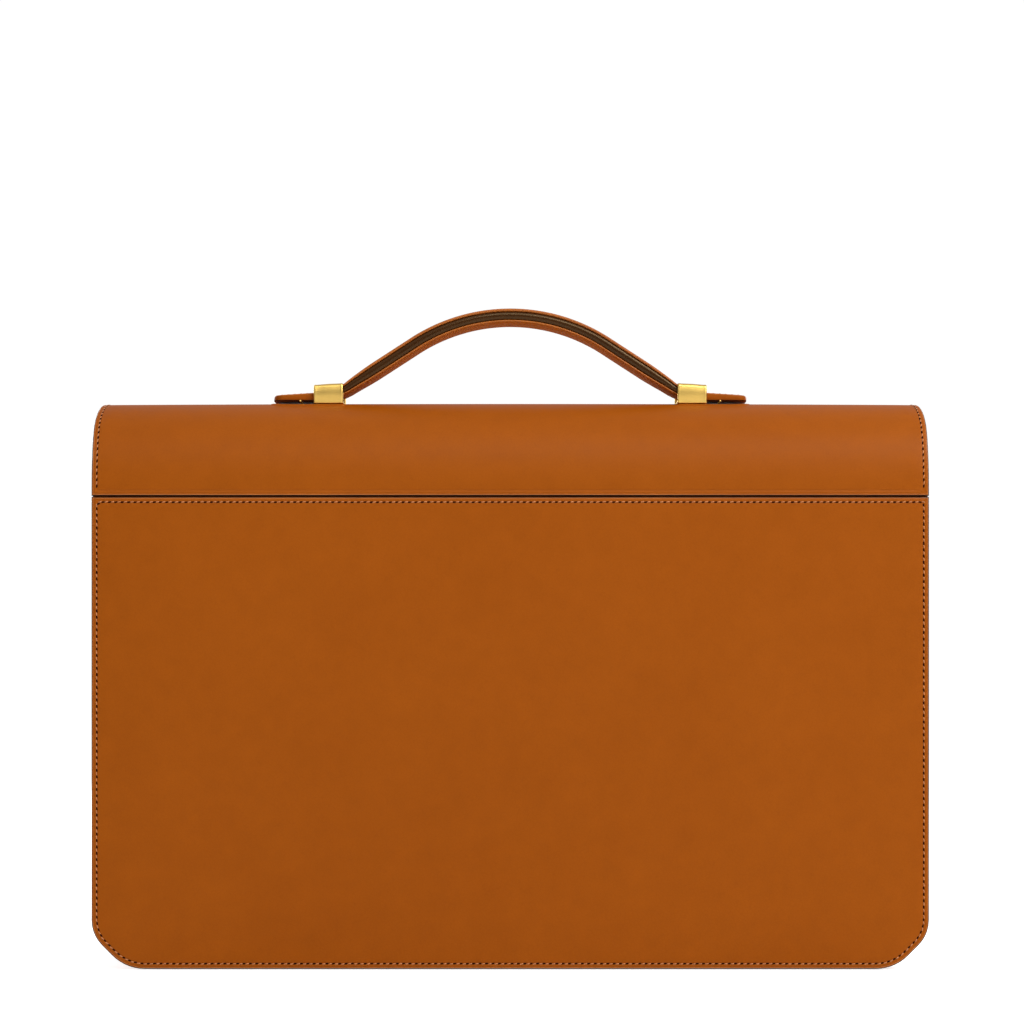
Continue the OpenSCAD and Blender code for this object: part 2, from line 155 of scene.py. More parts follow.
def leather(name, base, dark, light, rough=0.46, grain=1.0, spec=0.11):
    """Smooth calf: fine pores, faint wrinkles, mottled dye."""
    m, t, p = nodes_of(name)
    co = t.nodes.new("ShaderNodeTexCoord").outputs["Object"]
    big = add(t, "ShaderNodeTexNoise", Scale=14.0, Detail=4.0, Roughness=0.55)
    mid = add(t, "ShaderNodeTexNoise", Scale=120.0, Detail=5.0, Roughness=0.6)
    fine = add(t, "ShaderNodeTexNoise", Scale=900.0, Detail=3.0, Roughness=0.6)
    cell = add(t, "ShaderNodeTexVoronoi", Scale=620.0, feature="DISTANCE_TO_EDGE")
    stretch = add(t, "ShaderNodeMapping", Scale=(1.0, 1.0, 7.0))
    scratch = add(t, "ShaderNodeTexNoise", Scale=260.0, Detail=2.0)
    warp = add(t, "ShaderNodeTexNoise", Scale=200.0, Detail=2.0)
    wmix = t.nodes.new("ShaderNodeVectorMath")
    wmix.operation = "MULTIPLY_ADD"
    for n in (big, mid, fine, warp, stretch):
        t.links.new(co, n.inputs[0])
    t.links.new(stretch.outputs[0], scratch.inputs[0])
    t.links.new(warp.outputs["Color"], wmix.inputs[0])
    wmix.inputs[1].default_value = (0.0012, 0.0012, 0.0012)
    t.links.new(co, wmix.inputs[2])
    t.links.new(wmix.outputs[0], cell.inputs[0])
    c = ramp(t, big.outputs[0], [(0.36, dark), (0.5, base), (0.66, light)])
    c2 = ramp(t, mid.outputs[0], [(0.3, (0.94, 0.93, 0.92)), (0.7, (1.04, 1.04, 1.04))])
    c = mix(t, c, c2, 0.75, "MULTIPLY")
    pores = ramp(t, cell.outputs["Distance"], [(0.0, (0.86, 0.82, 0.78)), (0.09, (1, 1, 1))])
    c = mix(t, c, pores, 0.45 * grain, "MULTIPLY")
    t.links.new(c, p.inputs["Base Color"])
    r = add(t, "ShaderNodeMapRange", **{"To Min": rough - 0.07, "To Max": rough + 0.09})
    t.links.new(mid.outputs[0], r.inputs["Value"])
    t.links.new(r.outputs[0], p.inputs["Roughness"])
    height = None
    for part, share in ((cell.outputs["Distance"], 0.9), (fine.outputs[0], 0.22), (scratch.outputs[0], 0.25)):
        h = add(t, "ShaderNodeMath", operation="MULTIPLY_ADD")
        t.links.new(part, h.inputs[0])
        h.inputs[1].default_value, h.inputs[2].default_value = share, 0.0
        if height is not None:
            t.links.new(height, h.inputs[2])
        height = h.outputs[0]
    b = add(t, "ShaderNodeBump", Strength=0.28 * grain, Distance=0.00012)
    t.links.new(height, b.inputs["Height"])
    t.links.new(b.outputs[0], p.inputs["Normal"])
    p.inputs["Specular IOR Level"].default_value = spec
    return m


def simple(name, base, rough, metallic=0.0, scale=400.0, var=0.12, bump=0.15, dist=0.0001, spec=0.5,
           sheen=0.0):
    """An even material with a fine noise in its colour, gloss and surface."""
    m, t, p = nodes_of(name)
    co = t.nodes.new("ShaderNodeTexCoord").outputs["Object"]
    n = add(t, "ShaderNodeTexNoise", Scale=scale, Detail=5.0, Roughness=0.65)
    t.links.new(co, n.inputs[0])
    lo, hi = tuple(c * (1 - var) for c in base), tuple(min(1, c * (1 + var)) for c in base)
    t.links.new(ramp(t, n.outputs[0], [(0.3, lo), (0.7, hi)]), p.inputs["Base Color"])
    r = add(t, "ShaderNodeMapRange", **{"To Min": rough * 0.85, "To Max": min(1, rough * 1.2)})
    t.links.new(n.outputs[0], r.inputs["Value"])
    t.links.new(r.outputs[0], p.inputs["Roughness"])
    b = add(t, "ShaderNodeBump", Strength=bump, Distance=dist)
    t.links.new(n.outputs[0], b.inputs["Height"])
    t.links.new(b.outputs[0], p.inputs["Normal"])
    p.inputs["Metallic"].default_value = metallic
    p.inputs["Specular IOR Level"].default_value = spec
    if sheen:
        p.inputs["Sheen Weight"].default_value = sheen
        p.inputs["Sheen Roughness"].default_value = 0.5
    return m


def thread_material():
    """Waxed linen thread with a twist."""
    m, t, p = nodes_of("thread")
    co = t.nodes.new("ShaderNodeTexCoord").outputs["Object"]
    w = add(t, "ShaderNodeTexWave", Scale=900.0, Distortion=1.5, Detail=1.0)
    w.bands_direction = "DIAGONAL"
    n = add(t, "ShaderNodeTexNoise", Scale=160.0)
    t.links.new(co, w.inputs[0])
    t.links.new(co, n.inputs[0])
    c = ramp(t, w.outputs["Fac"], [(0.1, (0.44, 0.15, 0.045)), (0.7, (0.70, 0.29, 0.105))])
    c = mix(t, c, ramp(t, n.outputs[0], [(0.3, (0.85, 0.8, 0.78)), (0.7, (1, 1, 1))]), 1.0, "MULTIPLY")
    t.links.new(c, p.inputs["Base Color"])
    b = add(t, "ShaderNodeBump", Strength=0.6, Distance=0.0001)
    t.links.new(w.outputs["Fac"], b.inputs["Height"])
    t.links.new(b.outputs[0], p.inputs["Normal"])
    p.inputs["Roughness"].default_value = 0.55
    return m


TAN = leather("tan_leather", (0.345, 0.0785, 0.0012), (0.338, 0.0763, 0.0010), (0.352, 0.0808, 0.0014))
# the handle's underside: the tan leather painted brighter as painted light that lifts the shade under the
# handle; low gloss
UNDERSIDE_PAINTED_LIGHT = leather("handle_underside_painted_light_leather", (0.42, 0.111, 0.0036), (0.41, 0.106, 0.0033),
                (0.43, 0.116, 0.004), rough=0.75, spec=0.02)
TAN_DULL = leather("tan_leather_inner", (0.30, 0.069, 0.006), (0.28, 0.063, 0.005), (0.32, 0.074, 0.007),
                   rough=0.55)
CORE = leather("handle_core_leather", (0.040, 0.0115, 0.0012), (0.034, 0.009, 0.0010), (0.046, 0.013, 0.0015),
               rough=0.25, grain=0.05, spec=0.5)
CORE.node_tree.nodes["Principled BSDF"].inputs["Specular Tint"].default_value = (1.0, 0.74, 0.42, 1)
EDGE = simple("edge_paint", (0.040, 0.010, 0.0015), 0.38, scale=260, var=0.3, bump=0.25, dist=0.00015,
              spec=0.2)
BEVEL = leather("burnished_bevel", (0.42, 0.12, 0.016), (0.38, 0.10, 0.012), (0.47, 0.14, 0.02),
                rough=0.40, spec=0.3)
SUEDE = simple("suede", (0.22, 0.095, 0.035), 0.95, scale=1400, var=0.28, bump=0.7, dist=0.0004,
               spec=0.1, sheen=0.6)
BOARD = simple("fibreboard", (0.16, 0.11, 0.07), 0.9, scale=900, var=0.25, bump=0.4, dist=0.0002, spec=0.2)
THREAD = thread_material()
# near-black for stitch holes and screw slots: painted shade of the holes, which are not modelled as recesses
HOLE_SHADE = simple("stitch_hole_shade", (0.018, 0.0015, 0.0005), 0.9, scale=600, var=0.3, spec=0.1)
BRASS = simple("polished_brass", (0.86, 0.57, 0.15), 0.34, metallic=1.0, scale=90, var=0.03,
               bump=0.01)
STEEL = simple("satin_steel", (0.50, 0.49, 0.46), 0.34, metallic=1.0, scale=300, var=0.08,
               bump=0.1)


# ---- mesh helpers ----

def make(name, verts, faces, mats, index=None, body=None, stands=(), slot=None, smooth=True):
    me = bpy.data.meshes.new(name)
    me.from_pydata((np.asarray(verts, float) * MM).tolist(), [], faces)
    for m in mats:
        me.materials.append(m)
    if index is not None:
        me.polygons.foreach_set("material_index", np.asarray(index, np.int32))
    me.polygons.foreach_set("use_smooth", np.full(len(me.polygons), smooth))
    bm = bmesh.new()
    bm.from_mesh(me)
    bmesh.ops.recalc_face_normals(bm, faces=bm.faces)
    bm.to_mesh(me)
    bm.free()
    me.update()
    o = bpy.data.objects.new(name, me)
    scene.collection.objects.link(o)
    if body:
        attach(o, body)
    if stands:
        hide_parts(*stands)
    return o


def spaced(a, b, n):
    return np.linspace(a, b, n)


def tube(m, n, around=False):
    """Quads that join m rings of n points; around also joins the last ring to the first."""
    return [[i * n + j, i * n + (j + 1) % n, (i + 1) % m * n + (j + 1) % n, (i + 1) % m * n + j]
            for i in range(m if around else m - 1) for j in range(n)]


def ends(m, n):
    """A face on a tube's first ring and one on its last."""
    return [list(range(n)), [(m - 1) * n + j for j in range(n)][::-1]]


def grid_quads(idx):
    """A grid of point numbers as quads."""
    return np.stack([idx[:-1, :-1], idx[:-1, 1:], idx[1:, 1:], idx[1:, :-1]], -1).reshape(-1, 4)


def border(idx):
    """The point numbers round a grid's rim."""
    return np.concatenate([idx[0, :], idx[1:, -1], idx[-1, -2::-1], idx[-2:0:-1, 0]])


def sheet(rows, cols):
    """Faces of two equal grids of points, joined round their rim: both grids' quads, then the rim's."""
    idx = np.arange(rows * cols).reshape(rows, cols)
    quads, rim = grid_quads(idx), border(idx)
    nxt = np.roll(rim, -1)
    side = np.stack([rim, rim + idx.size, nxt + idx.size, nxt], -1)
    return quads.tolist() + (quads[:, ::-1] + idx.size).tolist(), side.tolist()


class Panel:
    """A panel's outline: chamfered lower corners with blended ends, straight sides, straight top.
    rows(inset) gives its right side as (x, z) from the bottom up; the left side is its mirror."""

    def __init__(self, w, bottom, top, side_rows=36, cols=64, narrow=None, side_z=None):
        self.w, self.bottom, self.top, self.cols, self.narrow = w, bottom, top, cols, narrow
        self.frac = spaced(0, 1, side_rows + 1)[1:] if side_z is None else side_z
        self.t = spaced(-1, 1, cols + 1)

    def rows(self, inset, top=None):
        top = self.top if top is None else top
        leg = LEG - inset * (2 - math.sqrt(2))
        r = RAD - inset
        r1 = FOOT_RAD - inset
        t, t1 = r * math.tan(math.radians(22.5)), r1 * math.tan(math.radians(22.5))
        w, b = self.w - inset, self.bottom + inset
        a = np.radians(spaced(270, 315, 8))
        p1 = np.stack([w - leg - t1 + r1 * np.cos(a), b + r1 + r1 * np.sin(a)], 1)
        a = np.radians(spaced(315, 360, 6))
        p2 = np.stack([w - r + r * np.cos(a), b + leg + t + r * np.sin(a)], 1)
        k = spaced(0, 1, 4)[1:-1, None]
        mid = p1[-1] * (1 - k) + p2[0] * k
        z0 = b + leg + t
        z = z0 + self.frac * (top - inset - z0)
        x = np.full(len(z), float(w))
        out = np.concatenate([p1, mid, p2, np.stack([x, z], 1)])
        if self.narrow is not None:
            out[:, 0] -= self.narrow(out[:, 1])
        return out

    def grid(self, inset):
        r = self.rows(inset)
        x = r[:, 0][:, None] * self.t[None, :]
        z = np.repeat(r[:, 1][:, None], self.cols + 1, 1)
        return x, z

    def index(self):
        """The numbers of the grid's points."""
        shape = len(self.rows(1.0)), self.cols + 1
        return np.arange(shape[0] * shape[1]).reshape(shape)


def slab(name, panel, profile, place, mats, **kw):
    """A sheet with shaped edges. Its profile of (inset, height, material) runs from the face's grid of
    points round the edge to the back's grid."""
    idx = panel.index()
    ring, quads = border(idx), grid_quads(idx)
    verts, faces, index, count, prev = [], [], [], 0, None
    for k, (inset, h, m) in enumerate(profile):
        x, z = (g.ravel() for g in panel.grid(inset))
        whole = k in (0, len(profile) - 1)
        if not whole:
            x, z = x[ring], z[ring]
        verts.append(place(x, z, np.full(len(x), h)))
        cur = (ring if whole else np.arange(len(ring))) + count
        if k:
            faces += np.stack([prev, cur, np.roll(cur, -1), np.roll(prev, -1)], -1).tolist()
            index += [m] * len(ring)
        if whole:
            faces += (quads[:, ::-1] + count if k else quads).tolist()
            index += [m] * len(quads)
        count += len(x)
        prev = cur
    return make(name, np.concatenate(verts), faces, mats, index, **kw)


def edge_profile(t):
    """Section of a cut, bevelled and painted leather edge of thickness t, with a crease and a stitch groove.
    Materials: 0 face, 1 paint, 2 bevel, 3 back."""
    s, far = STITCH_IN, 8.0
    p = [(far, 0, 0)]
    p += [(s + 0.9, 0, 0), (s + 0.45, -0.03, 0), (s + 0.2, -0.13, 0), (s, -0.17, 0), (s - 0.2, -0.13, 0),
          (s - 0.45, -0.03, 0), (s - 0.75, 0.03, 0)]
    p += [(1.35, 0.03, 0), (1.15, -0.03, 0), (1.02, -0.14, 0), (0.9, -0.03, 0), (0.75, 0.0, 2),
          (0.45, -0.05, 2), (0.22, -0.18, 1), (0.06, -0.42, 1), (0.0, -0.7, 1)]
    p += [(0.0, -(t - 0.6), 1), (0.07, -(t - 0.3), 1), (0.3, -(t - 0.06), 1), (0.7, -t, 3), (far, -t, 3)]
    return p


def thin_profile(t):
    """Section of a thin sheet's rounded edge, in one material."""
    r, far = t * 0.45, 6.0
    return [(far, 0, 0), (1.0, 0, 0), (0.35, -0.03, 0), (0.08, -r * 0.6, 0), (0, -r, 0), (0.0, -(t - r), 0),
            (0.08, -(t - r * 0.4), 0), (0.35, -t, 0), (far, -t, 0)]


def resample(path, pitch, closed=False, margin=0.0):
    """Points along a flat path at an even pitch: centres and unit tangents."""
    p = np.asarray(path, float)
    if closed:
        p = np.concatenate([p, p[:1]])
    seg = np.linalg.norm(np.diff(p, axis=0), axis=1)
    s = np.concatenate([[0], np.cumsum(seg)])
    total = s[-1] - 2 * margin
    n = max(2, round(total / pitch))
    at = margin + (np.arange(n) + 0.5) * total / n
    xy = np.stack([np.interp(at, s, p[:, k]) for k in range(2)], 1)
    e = 0.6
    a = np.stack([np.interp(at - e, s, p[:, k]) for k in range(2)], 1)
    b = np.stack([np.interp(at + e, s, p[:, k]) for k in range(2)], 1)
    t = b - a
    return xy, t / np.linalg.norm(t, axis=1)[:, None], total / n


def sew(name, paths, place, body, level=-0.17, pitch=3.05, slot="case_leather", out=0.16):
    """Rows of saddle stitches along paths of (points, closed, margin): short slanted threads, as real
    geometry, that dive into dark slits, flat lenses whose near-black is painted shade. level is the height
    they lie at, out how far the threads are outwards."""
    radius, slant = 0.28, math.radians(12)
    sides = 8
    turn = np.radians(np.arange(0, 360, 360 / sides))
    tv, tf, hv, hf = [], [], [], []
    for path, closed, margin in paths:
        c, t, step = resample(path, pitch, closed, margin)
        n = len(c)
        a = slant + rng.normal(0, 0.03, n)
        ca, sa = np.cos(a), np.sin(a)
        d = np.stack([t[:, 0] * ca - t[:, 1] * sa, t[:, 0] * sa + t[:, 1] * ca], 1)
        q = np.stack([-d[:, 1], d[:, 0]], 1)
        line = c + rng.normal(0, 0.03, (n, 2))
        c = line + out * np.stack([t[:, 1], -t[:, 0]], 1)
        u = np.array([-1.0, -0.86, -0.5, 0.0, 0.5, 0.86, 1.0]) * (0.5 * step * 0.62)
        hgt = np.array([-0.34, -0.02, 0.13, 0.17, 0.13, -0.02, -0.34]) + level
        rad = np.array([0.6, 0.86, 1.0, 1.03, 1.0, 0.86, 0.6]) * radius
        x, z = (c[:, None, None, k] + d[:, None, None, k] * u[None, :, None]
                + q[:, None, None, k] * rad[None, :, None] * np.cos(turn) for k in (0, 1))
        h = hgt[None, :, None] + rad[None, :, None] * 0.85 * np.sin(turn) + np.zeros((n, 1, 1))
        start, per = sum(map(len, tv)), len(u) * sides
        tv.append(place(x.ravel(), z.ravel(), h.ravel()))
        one = tube(len(u), sides)
        one += [f[::-1] for f in ends(len(u), sides)]
        tf += [[start + k * per + v for v in f] for k in range(n) for f in one]
        # slits sit between the threads, as flat dark lenses painted with the holes' shade
        mid = (line + np.roll(line, -1, 0)) / 2
        if not closed:
            mid = np.concatenate([line[:1] - t[:1] * step / 2, mid[:-1], line[-1:] + t[-1:] * step / 2])
            d = np.concatenate([d[:1], d])
        q = np.stack([-d[:, 1], d[:, 0]], 1)
        ex, ez = 0.84 * np.cos(turn), 0.40 * np.sin(turn)
        n = len(mid)
        x, z = (np.concatenate([mid[:, k, None] + d[:, k, None] * ex + q[:, k, None] * ez, mid[:, [k, k]]], 1)
                for k in (0, 1))
        rim = max(level + 0.20, level * 0.2)
        h = np.tile([rim] * sides + [rim + 0.01, level - 0.1], (n, 1))
        start, per = sum(map(len, hv)), sides + 2
        hv.append(place(x.ravel(), z.ravel(), h.ravel()))
        one = []
        for j in range(sides):
            one += [[j, (j + 1) % sides, sides], [(j + 1) % sides, j, sides + 1]]
        hf += [[start + k * per + v for v in f] for k in range(n) for f in one]
    return (make(name + "_thread", np.concatenate(tv), tf, [THREAD], body=body, slot=slot),
            make(name + "_holes", np.concatenate(hv), hf, [HOLE_SHADE], body=body, slot=slot, smooth=False))


def wave(x, z, amp):
    """A slow unevenness that a stiff hide has."""
    return amp * (np.sin(x * 0.021 + 0.7) * np.sin(z * 0.027 + 1.9)
                  + 0.5 * np.sin(x * 0.047 - z * 0.031 + 0.4) + 0.3 * np.sin(x * 0.011 + z * 0.083))


def fade(x, z, panel_w, top, bottom, width=30.0):
    """0 at a panel's edges, 1 well inside it."""
    e = np.minimum(np.minimum(panel_w - np.abs(x), top - z), z - bottom)
    k = np.clip(e / width, 0, 1)
    return k * k * (3 - 2 * k)


# ---- back pocket panel, back panel, front panel ----

def pocket_place(x, z, n):
    """The pocket sags out a little between its seams."""
    f = fade(x, z, W, POCKET_TOP, 0)
    return np.stack([x, BACK_Y - n - f * (0.35 + wave(x, z, 0.22)) * (n > -0.9), z], 1)


pocket = Panel(W, 0, POCKET_TOP, side_rows=40, cols=70)
slab("pocket_panel", pocket, edge_profile(1.8), pocket_place, [TAN, EDGE, BEVEL, TAN_DULL],
     body="case", stands=["back_pocket_panel"], slot="case_leather")


def loop_path(panel, inset):
    """The outline of a panel, drawn in by inset: up the right side, then down the left."""
    r = panel.rows(inset)
    return np.concatenate([r, np.stack([-r[::-1, 0], r[::-1, 1]], 1)])


sew("pocket_seam", [(loop_path(pocket, STITCH_IN), True, 0)], pocket_place, "case")


def plane_place(y, sign=1, amp=0.0, top=240):
    """Places a panel's points on the plane at y, facing sign * Y, with a slow unevenness of amp."""
    def place(x, z, n):
        f = fade(x, z, W, top, 0) * wave(x, z, amp) if amp else 0
        return np.stack([x, y + sign * (n + f), z], 1)
    return place


STRIP_Z = 212.0
back = Panel(W, 0, STRIP_Z, side_rows=30, cols=40)
slab("back_panel_leather", back, thin_profile(BP_HI[1] - BP_LO[1]), plane_place(BP_LO[1], -1), [TAN_DULL],
     body="case", stands=["back_panel"], slot="case_leather")
front = Panel(W, 0, FP_HI[2], side_rows=40, cols=70)
front_place = plane_place(FP_HI[1], 1, 0.2, top=FP_HI[2])
slab("front_panel_leather", front, edge_profile(FP_HI[1] - FP_LO[1]), front_place,
     [TAN, EDGE, BEVEL, TAN_DULL], body="case", stands=["front_panel"], slot="case_leather")
sew("front_seam", [(loop_path(front, STITCH_IN), True, 0)], front_place, "case")


# ---- flap: its section (py, pz) at arc length ps runs from the lower edge over the top to the back ----
ROLL_H = RIDGE_Z - FLAP_Z
HALF_D = (FRONT_Y - BACK_Y) / 2
ROLL_P = 2.5  # the rolled top is half a superellipse of this power
CROWN = 0.55  # how much higher its middle is than its ends


def roll_top(y, inset=0.0):
    """Height of the rolled top at y, or of the layer that lies inset below it."""
    k = np.clip(np.abs(y - MID_Y) / (HALF_D - inset), 0, 1)
    return FLAP_Z + (ROLL_H - inset) * (1 - k ** ROLL_P) ** (1 / ROLL_P)


ang = np.radians(spaced(0, 180, 721))
sc, ss = np.cos(ang), np.sin(ang)
ry = MID_Y + HALF_D * np.sign(sc) * np.abs(sc) ** (2 / ROLL_P)
rz = FLAP_Z + ROLL_H * np.abs(ss) ** (2 / ROLL_P)
LEAF_L = FLAP_Z - LEAF_Z
LEAF_N = 60
py = np.concatenate([np.full(LEAF_N, FRONT_Y), ry])
pz = np.concatenate([LEAF_Z + LEAF_L * np.arange(LEAF_N) / LEAF_N, rz])
ps = np.concatenate([[0], np.cumsum(np.hypot(np.diff(py), np.diff(pz)))])
FLAP_L = ps[-1]
ty, tz = np.gradient(py, ps), np.gradient(pz, ps)
tl = np.hypot(ty, tz)
NY, NZ = tz / tl, -ty / tl


def flap_place(x, s, n):
    """Places points on the flap: across it, along its section and n above its skin."""
    y, z = np.interp(s, ps, py), np.interp(s, ps, pz)
    ny, nz = np.interp(s, ps, NY), np.interp(s, ps, NZ)
    up = np.clip((z - FLAP_Z) / ROLL_H, 0, 1)
    crown = CROWN * up ** 2 * (1 - (x / W) ** 2)
    leaf = np.clip((FLAP_L * 0.46 - s) / 40, 0, 1) * fade(x, s, W, 1e4, 0) * wave(x, s, 0.18)
    m = n + crown + leaf
    return np.stack([x, y + m * ny, z + m * nz], 1)


def flap_narrow(s):
    """How much the flap narrows over the ridge, on each side."""
    z = np.interp(s, ps, pz)
    return 1.7 * np.clip((z - (RIDGE_Z - 17)) / 17, 0, 1) ** 3


side_s = np.concatenate([spaced(0, 0.42, 22)[1:], spaced(0.42, 1, 96)[1:]])
flap = Panel(W, 0, FLAP_L, cols=70, narrow=flap_narrow, side_z=side_s)
slab("flap_skin", flap, edge_profile(FLAP_T), flap_place, [TAN, EDGE, BEVEL, TAN_DULL],
     body="flap", stands=["flap_leather"], slot="case_leather")
# the seam is open at the fold
open_path = np.roll(loop_path(flap, STITCH_IN), len(flap.rows(STITCH_IN)), 0)
sew("flap_seam", [(open_path, False, 2.0)], flap_place, "flap")


def lining_place(x, s, n):
    """The lining's outer face, against the leather."""
    return flap_place(x, s, n - FLAP_T - 0.02)


lining = Panel(W - 0.8, 0.8, FLAP_L - 6.5, cols=60, narrow=flap_narrow, side_z=side_s)
slab("flap_lining_skin", lining, thin_profile(LINING_T), lining_place, [SUEDE],
     body="flap", stands=["flap_lining"], slot="suede_lining")


def inside_place(x, s, n):
    """The lining's inner face."""
    return flap_place(x, s, -FLAP_T - LINING_T - 0.02 - n)


sew("flap_lining_seam", [(open_path[10:-10], False, 6.0)], inside_place, "flap", level=-0.05,
    slot="suede_lining", out=0)

# the fold: leather that runs from behind the pocket up inside the flap
fold_y = [BP_LO[1] + d for d in (0.05, 0.05, 0.12, 0.32, 0.36, 0.40)]
fold_z = [STRIP_Z + 0.2, 220.0, 224.5, 226.5, 229.5, 233.0]
FOLD_T = 1.3
fz = np.concatenate([spaced(STRIP_Z + 0.2, 222, 5)[:-1], spaced(222, 231, 19), [233.0]])
fx = spaced(-W + 0.4, W - 0.4, 61)
fold_v = np.stack([np.tile(fx, len(fz)), np.repeat(np.interp(fz, fold_z, fold_y), len(fx)),
                   np.repeat(fz, len(fx))], 1)
flat, rim = sheet(len(fz), len(fx))
fold = make("fold_strip", np.concatenate([fold_v, fold_v + np.array([0, FOLD_T, 0])]), flat + rim,
            [TAN_DULL, EDGE], [0] * len(flat) + [1] * len(rim), slot="case_leather")
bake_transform(fold)

# ---- gusset: one long strip with out-turned seams, its walls a little sunken ----
BIN, FIN = BP_HI[1], FP_LO[1]
G_T, G_IN = 1.6, 5.0


def gusset_top(y):
    """Height of the gusset's top: it slopes from the pocket's height to the front's."""
    return np.interp(y, [BIN, BIN + 16, FIN], [POCKET_TOP - 1, FP_HI[2] - 1, FP_HI[2] - 1])


def sunk(y):
    """How far the gusset's walls sink in between their seams."""
    k = np.clip((y - BIN - 4) / (FIN - BIN - 8), 0, 1)
    return 1.5 * np.sin(math.pi * k) ** 1.2


def strip(name, section, mats_of, mats, body, stands, slot, base_sink=0.35, z_off=0.0, lip=0):
    """Sweeps a closed section of (inset, y) down one side, under the base and up the other side.

    The caps are quads across the section's thickness; lip counts the points of a flange's rounded edge.
    """
    base = Panel(W, 0, 230, side_rows=30, cols=44)
    verts, n_sec = [], len(section)
    for inset, y in section:
        top = gusset_top(y) - z_off
        heights = base.rows(0)[:, 1]
        sink = sunk(y)
        r0 = base.rows(inset + sink * base_sink, top=top + inset + sink * base_sink)
        r1 = base.rows(inset + sink, top=top + inset + sink)
        k = np.clip((heights - 20) / 60, 0, 1)[:, None]  # the base sinks less than the walls
        rows = r0 * (1 - k) + r1 * k
        bx = spaced(-rows[0, 0], rows[0, 0], base.cols + 1)[1:-1]
        path = np.concatenate([np.stack([-rows[::-1, 0], rows[::-1, 1]], 1),
                               np.stack([bx, np.full(len(bx), rows[0, 1])], 1), rows])
        verts.append(np.stack([path[:, 0], np.full(len(path), y), path[:, 1]], 1))
    m = len(verts[0])
    v = np.stack(verts, 1).reshape(-1, 3)
    faces, index = tube(m, n_sec), mats_of * (m - 1)
    far, mid = n_sec + lip - 1, n_sec // 2 - 1
    cap = [[k, k + 1, far - k - 1, far - k] for k in range(lip, mid)]
    if lip:
        cap += [[far - lip, *range(lip + 1)], list(range(mid, mid + lip + 2))]
    faces += cap + [[(m - 1) * n_sec + j for j in c[::-1]] for c in cap]
    index += [1 if len(mats) > 1 else 0] * (2 * len(cap))
    return make(name, v, faces, mats, index, body=body, stands=stands, slot=slot)


def bend(i0, y0, i1, y1):
    """The inside of a quarter bend between a flange point and a wall point."""
    return [(i0 + (i1 - i0) * math.sin(a), y0 + (y1 - y0) * (1 - math.cos(a)))
            for a in (math.pi / 2 * k / 4 for k in (1, 2, 3))]


b1, f1 = BIN + G_T, FIN - G_T
wall_y = spaced(b1 + 1.8, f1 - 1.8, 11)
inner_y = spaced(BIN + 1.9, FIN - 1.9, 11)
sec = [(0.05, BIN + 0.25), (0.0, BIN + 0.8), (0.08, b1 - 0.15), (0.4, b1)]
sec += [(3.2, b1)] + bend(3.2, b1, G_IN, b1 + 1.8)
sec += [(G_IN, y) for y in wall_y]
sec += [(i, FIN + BIN - y) for i, y in bend(3.2, b1, G_IN, b1 + 1.8)[::-1]] + [(3.2, f1)]
sec += [(0.4, f1), (0.08, f1 + 0.15), (0.0, FIN - 0.8), (0.05, FIN - 0.25), (0.4, FIN - 0.02)]
sec += [(G_IN, FIN - 0.02)] + [(i, FIN + BIN - y) for i, y in bend(G_IN, BIN, G_IN + G_T, BIN + 1.9)]
sec += [(G_IN + G_T, y) for y in inner_y[::-1]]
sec += bend(G_IN, BIN, G_IN + G_T, BIN + 1.9)[::-1] + [(G_IN, BIN + 0.02), (0.4, BIN + 0.02)]
sec_mats = [1 if a[0] < 0.5 and sec[(j + 1) % len(sec)][0] < 0.5 else 0 for j, a in enumerate(sec)]
strip("gusset_strip", sec, sec_mats, [TAN, EDGE], "case", ["left_gusset", "right_gusset", "bottom_gusset"],
      "case_leather", lip=3)
lin = [(G_IN + G_T + 0.05, y) for y in spaced(BIN + 2.2, FIN - 2.9, 11)]
lin += [(G_IN + G_T + 0.62, y) for y in spaced(FIN - 2.9, BIN + 2.2, 11)]
strip("gusset_lining_strip", lin, [0] * len(lin), [SUEDE], "case",
      ["left_gusset_lining", "right_gusset_lining"], "suede_lining", z_off=0.6)


# ---- inside: linings, divider, base ----

def paint(mat, *nodes):
    """Gives CAD nodes that are shown as they are a material."""
    for node in nodes:
        frame["nodes"][node].data.materials.clear()
        frame["nodes"][node].data.materials.append(mat)


def inner_slab(node, sign=1, inset=8.0, bottom=0.0, stitch=False):
    """A suede sheet for a lining or the divider, its face towards sign * Y."""
    lo, hi = cad(node)
    place = plane_place(hi[1] if sign > 0 else lo[1], sign)
    slab(node + "_skin", Panel(W - inset, bottom + inset, hi[2], side_rows=20, cols=40),
         thin_profile(hi[1] - lo[1]), place, [SUEDE], body="case", stands=[node], slot="suede_lining")
    if stitch:
        seam = np.array([[-W + inset + 6, hi[2] - 4.0], [W - inset - 6, hi[2] - 4.0]])
        sew(node + "_skin_seam", [(seam, False, 0)], place, "case", level=-0.02, slot="suede_lining")


inner_slab("back_lining", stitch=True)
inner_slab("front_lining", -1, stitch=True)
inner_slab("divider", inset=9.0, bottom=2.0)
paint(BOARD, "back_stiffener", "front_stiffener", "base_board")


